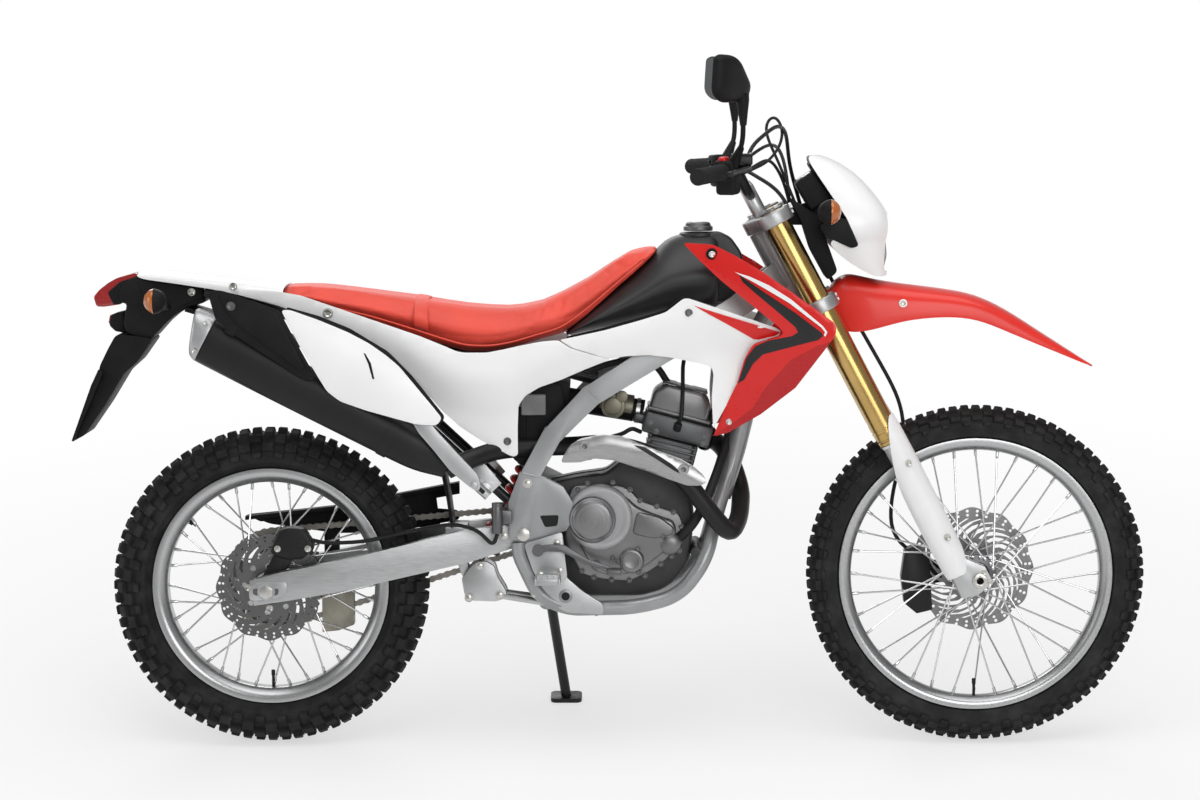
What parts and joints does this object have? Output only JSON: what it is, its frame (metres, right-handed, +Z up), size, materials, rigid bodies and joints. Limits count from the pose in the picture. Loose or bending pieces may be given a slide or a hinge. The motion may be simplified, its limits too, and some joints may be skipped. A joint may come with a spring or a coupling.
{
  "type": "dual sport motorcycle",
  "caption": "Dual sport motorcycle leaning on its side stand, with spoked wheels, long-travel fork, high fender, bench seat and side exhaust.",
  "frame": {"origin": "on the ground, under the middle of the parked motorcycle's bounding box", "axes": "+X forward along the wheelbase, +Y to the rider's left, towards the side stand, +Z up"},
  "size_m": [2.1869, 0.8382, 1.4502],
  "materials": {
    "frame_alloy": "satin silver paint on steel",
    "black_steel": "satin black paint",
    "cast_alloy": "cast and brushed aluminium",
    "rim_alloy": "polished aluminium",
    "tyre_rubber": "black tyre rubber",
    "steel": "brushed steel",
    "engine_paint": "dark grey cast aluminium",
    "radiator_metal": "black-coated aluminium",
    "black_plastic": "matte black plastic",
    "black_rubber": "black rubber",
    "exhaust_black": "heat-proof black paint",
    "shield_metal": "brushed steel and white heat guards",
    "shock_metal": "red spring on a steel damper",
    "handlebar_metal": "satin black",
    "gold_anodised": "gold anodised aluminium",
    "white_plastic": "glossy white plastic",
    "red_plastic": "glossy red plastic",
    "seat_vinyl": "red vinyl",
    "cap_metal": "dark grey metal",
    "lamp_lens": "clear, red and orange lenses"
  },
  "bodies": {
    "chassis": {"main_frame": "frame_alloy", "cradle": "frame_alloy", "subframe_rails": "black_steel", "subframe_struts": "black_steel", "swingarm": "cast_alloy", "rear_axle_and_pivot_bolt": "steel", "rear_shock": "shock_metal", "shock_linkage": "black_steel", "engine": "engine_paint", "engine_covers": "engine_paint", "front_sprocket": "steel", "intake": "black_plastic", "radiator": "radiator_metal", "chain": "steel", "chain_guard": "black_plastic", "exhaust_header": "exhaust_black", "muffler": "exhaust_black", "exhaust_shields": "shield_metal", "seat": "seat_vinyl", "fuel_tank": "black_plastic", "fuel_cap": "cap_metal", "side_panels": "white_plastic", "shrouds": "red_plastic", "tail_cover": "white_plastic", "rear_fender": "black_plastic", "rear_lights": "lamp_lens", "rear_caliper": "black_steel", "footpegs": "black_steel", "passenger_pegs": "black_steel", "foot_controls": "black_steel", "rear_brake_hose": "black_rubber", "inner_fender": "black_plastic"},
    "steering": {"triple_clamps": "cast_alloy", "fork_tubes": "gold_anodised", "fork_sliders": "cast_alloy", "front_axle": "steel", "fork_guards": "white_plastic", "front_caliper": "black_steel", "handlebar": "handlebar_metal", "hand_controls": "black_plastic", "mirrors": "black_plastic", "front_fender": "red_plastic", "headlight_cowl": "white_plastic", "instrument_panel": "black_plastic", "front_lights": "lamp_lens", "front_brake_hose": "black_rubber"},
    "front_wheel": {"front_tyre": "tyre_rubber", "front_rim_and_hub": "rim_alloy", "front_disc": "steel"},
    "rear_wheel": {"rear_tyre": "tyre_rubber", "rear_rim_and_hub": "rim_alloy", "rear_disc": "steel", "rear_sprocket": "steel"},
    "side_stand": {"side_stand": "black_steel"}
  },
  "joints": [
    {"name": "steering_head", "type": "hinge", "parent": "chassis", "child": "steering", "pos_m": [0.35098, -0.04711, 0.96071], "axis": [-0.4631, 0.1539, 0.8728], "range_deg": [-42, 42]},
    {"name": "front_wheel_spin", "type": "hinge", "parent": "steering", "child": "front_wheel", "pos_m": [0.74747, -0.1563, 0.34135], "axis": [0, 0.9848, -0.1736], "continuous": true},
    {"name": "rear_wheel_spin", "type": "hinge", "parent": "chassis", "child": "rear_wheel", "pos_m": [-0.69753, -0.15995, 0.32097], "axis": [0, 0.9848, -0.1736], "continuous": true},
    {"name": "side_stand_hinge", "type": "hinge", "parent": "chassis", "child": "side_stand", "pos_m": [-0.12954, -0.042, 0.25842], "axis": [0.1789, 0.9463, 0.2692], "range_deg": [0, 104.9]}
  ]
}
